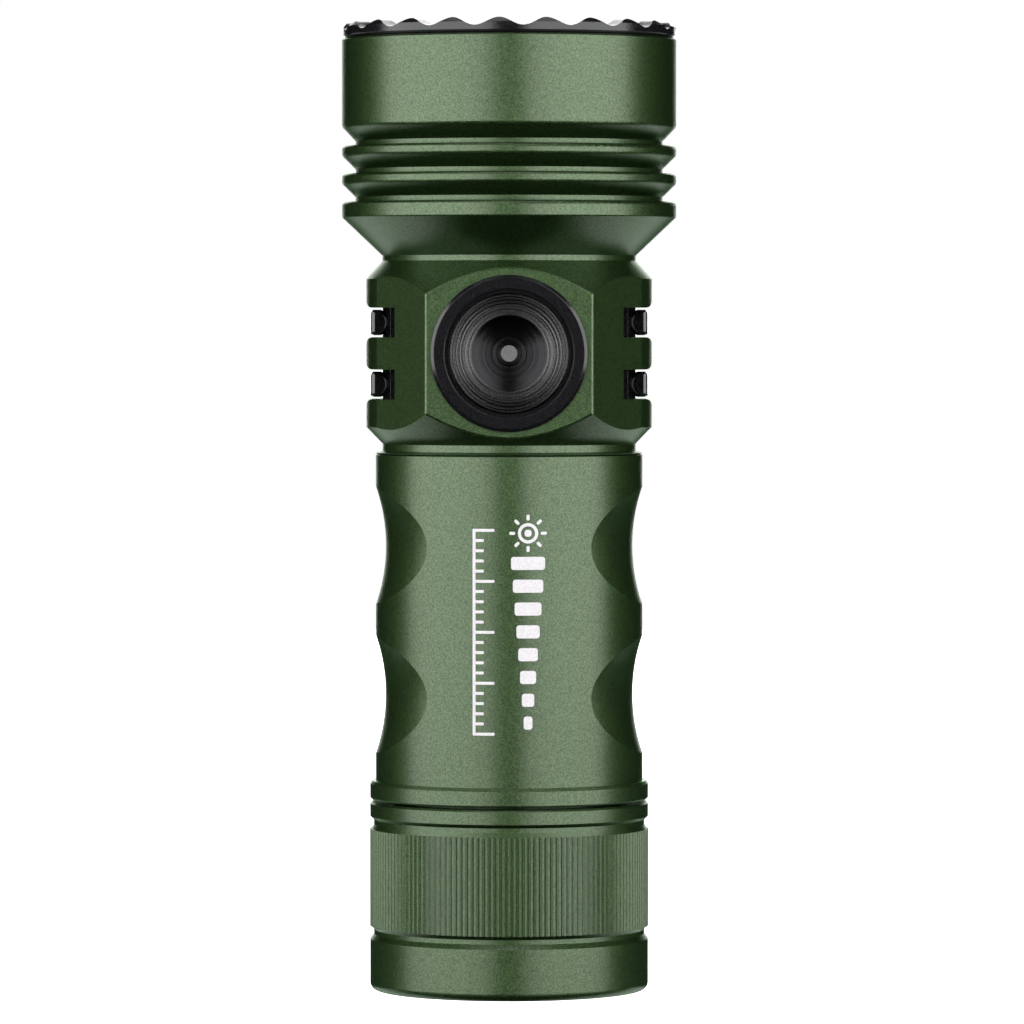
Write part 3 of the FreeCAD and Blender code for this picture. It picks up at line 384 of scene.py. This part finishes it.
def make_turned_rings():
    """Tool rings about an axis: a mask of uneven rings, and a normal that follows them."""
    group, entry, leave = new_group(
        "turned_rings", [("Place", "Vector"), ("Rings", "Float"), ("Depth", "Float"), ("Normal", "Vector")],
        [("Mask", "Float"), ("Radius", "Float"), ("Normal", "Vector")])
    reach = group.nodes.new("ShaderNodeVectorMath")
    reach.operation = "LENGTH"
    noise = group.nodes.new("ShaderNodeTexNoise")
    noise.noise_dimensions = "1D"
    noise.inputs["Detail"].default_value = 2
    bump = group.nodes.new("ShaderNodeBump")
    bump.inputs["Distance"].default_value = tool_mark_height
    wire = group.links.new
    wire(entry.outputs["Place"], reach.inputs[0])
    wire(reach.outputs["Value"], noise.inputs["W"])
    wire(entry.outputs["Rings"], noise.inputs["Scale"])
    wire(noise.outputs["Fac"], bump.inputs["Height"])
    wire(entry.outputs["Depth"], bump.inputs["Strength"])
    wire(entry.outputs["Normal"], bump.inputs["Normal"])
    wire(noise.outputs["Fac"], leave.inputs["Mask"])
    wire(reach.outputs["Value"], leave.inputs["Radius"])
    wire(bump.outputs["Normal"], leave.inputs["Normal"])
    return group


turned_rings = make_turned_rings()


def add_rings(material, shader, centre, along, rings, depth, roughness):
    """Tool rings about an axis that runs along "X", "Y" or "Z" through the centre."""
    nodes, wire = material.node_tree.nodes, material.node_tree.links.new
    place = nodes.new("ShaderNodeTexCoord")
    flatten = nodes.new("ShaderNodeMapping")
    flatten.inputs["Scale"].default_value = [0 if axis == along else 1 for axis in "XYZ"]
    flatten.inputs["Location"].default_value = [0 if axis == along else -value
                                                for axis, value in zip("XYZ", centre)]
    group = nodes.new("ShaderNodeGroup")
    group.node_tree = turned_rings
    group.inputs["Rings"].default_value = rings
    group.inputs["Depth"].default_value = depth
    soften = nodes.new("ShaderNodeBevel")
    soften.samples = edge_samples
    soften.inputs["Radius"].default_value = turned_edge
    wire(place.outputs["Object"], flatten.inputs["Vector"])
    wire(flatten.outputs["Vector"], group.inputs["Place"])
    wire(soften.outputs["Normal"], group.inputs["Normal"])
    wire(group.outputs["Normal"], shader.inputs["Normal"])
    add_spread(material, group.outputs["Mask"], roughness[0], roughness[1], shader.inputs["Roughness"])
    return group


dish_radius, dish_edge_width = 3.85 * MM, 0.10 * MM
button_low, button_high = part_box("switch_button")
button_middle = (button_low + button_high) / 2
turned_black, shader = new_material("turned_black", Metallic=1.0)
rings = add_rings(turned_black, shader, button_middle, "Y", rings=9000, depth=1.0,
                  roughness=(0.14, 0.22))
# the base colour runs from darker inside the dish to paler on the rim round it
dish_edge = turned_black.node_tree.nodes.new("ShaderNodeMapRange")
dish_edge.inputs["From Min"].default_value = dish_radius
dish_edge.inputs["From Max"].default_value = dish_radius + dish_edge_width
dish_edge.inputs["To Min"].default_value = mask_dark
dish_edge.inputs["To Max"].default_value = mask_light
turned_black.node_tree.links.new(rings.outputs["Radius"], dish_edge.inputs["Value"])
add_tint(turned_black, shader, dish_edge.outputs["Result"], (0.019, 0.019, 0.020), (0.085, 0.085, 0.086))
finish_nodes(turned_black, "switch_button")


# ---- Light dot in the button, and what is behind it --------------------------------------
# The dot is a moulded milky rod. Behind it are a rubber boot, a steel plunger, a dome switch
# and a small board with its status light.

milky_plastic, shader = new_material("milky_plastic", Subsurface_Weight=0.2, Coat_Weight=0.3)
shader.inputs["Subsurface Radius"].default_value = (0.4 * MM, 0.4 * MM, 0.4 * MM)
grain = add_grain(milky_plastic, shader, scale=4000, depth=0.2, edge=0.05 * MM, roughness=(0.3, 0.42))
add_tint(milky_plastic, shader, grain.outputs["Grain"], (0.085, 0.085, 0.085), (0.12, 0.12, 0.12))
finish_nodes(milky_plastic, "indicator_lens")

seal_rubber, shader = new_material("seal_rubber", Specular_IOR_Level=0.3, Sheen_Weight=0.1)
grain = add_grain(seal_rubber, shader, scale=2600, depth=0.3, edge=0.05 * MM, roughness=(0.6, 0.75))
add_tint(seal_rubber, shader, grain.outputs["Grain"], (0.012, 0.012, 0.012), (0.022, 0.022, 0.022))
finish_nodes(seal_rubber, "button_boot", "switch_gasket", "glass_seal", "nose_seal", "tail_seal")


# ---- Black inserts in the side slots -----------------------------------------------------
# Moulded in glossy hard rubber and pressed into the slots; the studs stand out of the strips.

glossy_rubber, shader = new_material("glossy_rubber", Specular_IOR_Level=0.5, Coat_Weight=0.5,
                                     Coat_Roughness=0.05)
grain = add_grain(glossy_rubber, shader, scale=3000, depth=0.1, edge=0.05 * MM, roughness=(0.10, 0.16))
add_tint(glossy_rubber, shader, grain.outputs["Grain"], (0.002, 0.002, 0.003), (0.005, 0.005, 0.006))
finish_nodes(glossy_rubber, "slot_insert_upper_left", "slot_insert_lower_left", "slot_insert_upper_right",
             "slot_insert_lower_right")


# ---- Front glass and lens block ----------------------------------------------------------
# Toughened glass with a coating that leaves a faint blue-violet shine, over a clear moulded
# lens whose collar is finely frosted.

coated_glass, shader = new_material("coated_glass", Transmission_Weight=1.0, IOR=1.5,
                                    Base_Color=(0.97, 1.0, 0.99, 1), Thin_Film_Thickness=115.0,
                                    Thin_Film_IOR=1.38)
add_grain(coated_glass, shader, scale=800, depth=0.005, edge=0.05 * MM, roughness=(0.0, 0.02))
finish_nodes(coated_glass, "front_glass")

clear_optic, shader = new_material("clear_optic", Transmission_Weight=1.0, IOR=1.49,
                                   Base_Color=(0.98, 0.99, 0.99, 1))
light_axis = Vector((0, 0, 0))
add_rings(clear_optic, shader, light_axis, "Z", rings=900, depth=0.04, roughness=(0.03, 0.10))
finish_nodes(clear_optic, "tir_optic")


# ---- Light source ------------------------------------------------------------------------
# The lamp chip is soldered to a copper board, held by two screws under a white locating ring.
# Two insulated leads come up through the board.

phosphor, shader = new_material("phosphor", Specular_IOR_Level=0.4, Coat_Weight=0.6)
grain = add_grain(phosphor, shader, scale=5000, depth=0.3, edge=0.03 * MM, roughness=(0.35, 0.5))
add_tint(phosphor, shader, grain.outputs["Grain"], (0.70, 0.55, 0.08), (0.85, 0.70, 0.14))
finish_nodes(phosphor, "main_led", "indicator_led")

bare_copper, shader = new_material("bare_copper", Metallic=1.0)
grain = add_grain(bare_copper, shader, scale=1800, depth=0.3, edge=0.05 * MM, roughness=(0.22, 0.4))
add_tint(bare_copper, shader, grain.outputs["Grain"], (0.62, 0.30, 0.18), (0.80, 0.44, 0.28))
finish_nodes(bare_copper, "led_board")

white_plastic, shader = new_material("white_plastic", Subsurface_Weight=0.1)
grain = add_grain(white_plastic, shader, scale=2500, depth=0.2, edge=0.05 * MM, roughness=(0.4, 0.5))
add_tint(white_plastic, shader, grain.outputs["Grain"], (0.74, 0.73, 0.70), (0.82, 0.81, 0.78))
finish_nodes(white_plastic, "optic_holder")

red_insulation, shader = new_material("red_insulation", Coat_Weight=0.2)
grain = add_grain(red_insulation, shader, scale=1500, depth=0.2, edge=0.03 * MM, roughness=(0.35, 0.5))
add_tint(red_insulation, shader, grain.outputs["Grain"], (0.36, 0.012, 0.01), (0.48, 0.02, 0.015))
finish_nodes(red_insulation, "led_leads")

bright_steel, shader = new_material("bright_steel", Metallic=1.0)
grain = add_grain(bright_steel, shader, scale=2200, depth=0.25, edge=0.05 * MM, roughness=(0.18, 0.34))
add_tint(bright_steel, shader, grain.outputs["Grain"], (0.50, 0.50, 0.52), (0.66, 0.66, 0.67))
finish_nodes(bright_steel, "led_board_screws", "cell_can", "tail_spring", "switch_plunger")


# ---- Circuit boards and their parts ------------------------------------------------------
# Fibre boards under green lacquer, with a controller, a coil, a switch and a white connector.
# A strip of amber film joins the switch board to the driver.

board_lacquer, shader = new_material("board_lacquer", Coat_Weight=0.7, Coat_Roughness=0.15)
grain = add_grain(board_lacquer, shader, scale=1200, depth=0.4, edge=0.03 * MM, roughness=(0.3, 0.45))
add_tint(board_lacquer, shader, grain.outputs["Grain"], (0.006, 0.055, 0.018), (0.015, 0.10, 0.035))
finish_nodes(board_lacquer, "driver_board", "switch_board", "tail_board")

chip_resin, shader = new_material("chip_resin", Specular_IOR_Level=0.4)
grain = add_grain(chip_resin, shader, scale=6000, depth=0.5, edge=0.04 * MM, roughness=(0.5, 0.65))
add_tint(chip_resin, shader, grain.outputs["Grain"], (0.010, 0.010, 0.011), (0.020, 0.020, 0.021))
finish_nodes(chip_resin, "driver_controller", "driver_inductor", "tact_switch")

cream_plastic, shader = new_material("cream_plastic")
grain = add_grain(cream_plastic, shader, scale=2500, depth=0.2, edge=0.04 * MM, roughness=(0.4, 0.5))
add_tint(cream_plastic, shader, grain.outputs["Grain"], (0.64, 0.60, 0.50), (0.72, 0.69, 0.59))
finish_nodes(cream_plastic, "driver_connector")

amber_film, shader = new_material("amber_film", Coat_Weight=0.5)
grain = add_grain(amber_film, shader, scale=900, depth=0.3, edge=0.02 * MM, roughness=(0.25, 0.35))
add_tint(amber_film, shader, grain.outputs["Grain"], (0.35, 0.12, 0.015), (0.48, 0.19, 0.03))
finish_nodes(amber_film, "switch_flex")


# ---- Cell --------------------------------------------------------------------------------
# A steel can in a shrunk plastic sleeve, with a wound foil core, a washer and a plated cap.

cell_sleeve, shader = new_material("cell_sleeve", Coat_Weight=0.6, Coat_Roughness=0.12)
grain = add_grain(cell_sleeve, shader, scale=500, depth=0.3, edge=0.05 * MM, roughness=(0.25, 0.4))
add_tint(cell_sleeve, shader, grain.outputs["Grain"], (0.012, 0.012, 0.014), (0.022, 0.022, 0.026))
finish_nodes(cell_sleeve, "cell_wrap", "cell_washer")

wound_foil, shader = new_material("wound_foil", Metallic=1.0)
rings = add_rings(wound_foil, shader, light_axis, "Z", rings=4000, depth=0.8, roughness=(0.3, 0.5))
add_tint(wound_foil, shader, rings.outputs["Mask"], (0.30, 0.30, 0.31), (0.60, 0.60, 0.62))
finish_nodes(wound_foil, "cell_core")

nickel, shader = new_material("nickel", Metallic=1.0)
grain = add_grain(nickel, shader, scale=900, depth=0.15, edge=0.05 * MM, roughness=(0.12, 0.22))
add_tint(nickel, shader, grain.outputs["Grain"], (0.60, 0.58, 0.54), (0.70, 0.68, 0.64))
finish_nodes(nickel, "cell_positive_cap", "tail_magnet")


# ---- Contacts and retaining rings --------------------------------------------------------
# Turned brass for the rings and the driver's post, gold on the tail contact, and a black
# moulded insulator round it.

turned_brass, shader = new_material("turned_brass", Metallic=1.0)
rings = add_rings(turned_brass, shader, light_axis, "Z", rings=5000, depth=0.6, roughness=(0.2, 0.35))
add_tint(turned_brass, shader, rings.outputs["Mask"], (0.60, 0.40, 0.14), (0.75, 0.54, 0.22))
finish_nodes(turned_brass, "driver_retaining_ring", "driver_contact", "tail_retaining_ring")

gold_plate, shader = new_material("gold_plate", Metallic=1.0)
rings = add_rings(gold_plate, shader, light_axis, "Z", rings=6000, depth=0.5, roughness=(0.16, 0.28))
add_tint(gold_plate, shader, rings.outputs["Mask"], (0.80, 0.52, 0.18), (0.90, 0.64, 0.27))
finish_nodes(gold_plate, "tail_contact")

black_plastic, shader = new_material("black_plastic", Specular_IOR_Level=0.4)
grain = add_grain(black_plastic, shader, scale=3500, depth=0.5, edge=0.08 * MM, roughness=(0.42, 0.55))
add_tint(black_plastic, shader, grain.outputs["Grain"], (0.010, 0.010, 0.011), (0.018, 0.018, 0.019))
finish_nodes(black_plastic, "tail_insulator")
